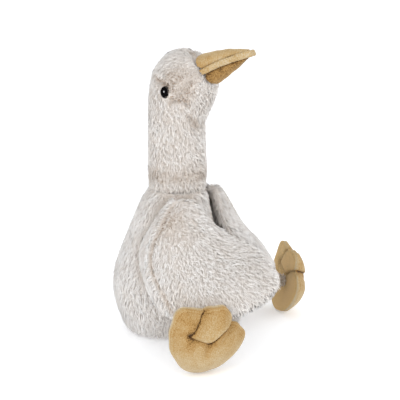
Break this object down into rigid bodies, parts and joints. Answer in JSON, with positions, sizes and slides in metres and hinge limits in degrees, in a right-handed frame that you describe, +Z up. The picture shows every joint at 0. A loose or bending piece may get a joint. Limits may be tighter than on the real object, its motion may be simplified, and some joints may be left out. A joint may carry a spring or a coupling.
{
  "type": "plush goose",
  "caption": "Sitting plush goose with a long straight neck, black domed eyes, a tan suede bill and webbed feet, and padded wings draped over its bent legs.",
  "frame": {"origin": "on the floor, inside the flat seat under the torso, midway between the left and right sides", "axes": "+Z up along the neck, -Y the way the goose faces, -X its right side"},
  "size_m": [0.2646, 0.1959, 0.3001],
  "materials": {
    "plush": "short soft pile, matt",
    "suede": "brushed velour suede, matt",
    "raw_edge": "thick raw-cut suede edge",
    "eye": "polished black dome",
    "washer": "moulded, unpolished"
  },
  "bodies": {
    "root": {"torso": "plush", "neck_and_head": "plush", "right_wing": "plush", "left_wing": "plush", "right_leg": "plush", "left_leg": "plush", "right_foot": "suede", "left_foot": "suede", "upper_bill": "suede", "lower_bill": "suede", "bill_welt": "raw_edge", "right_eye": "eye", "left_eye": "eye", "right_eye_washer": "washer", "left_eye_washer": "washer"}
  },
  "joints": []
}
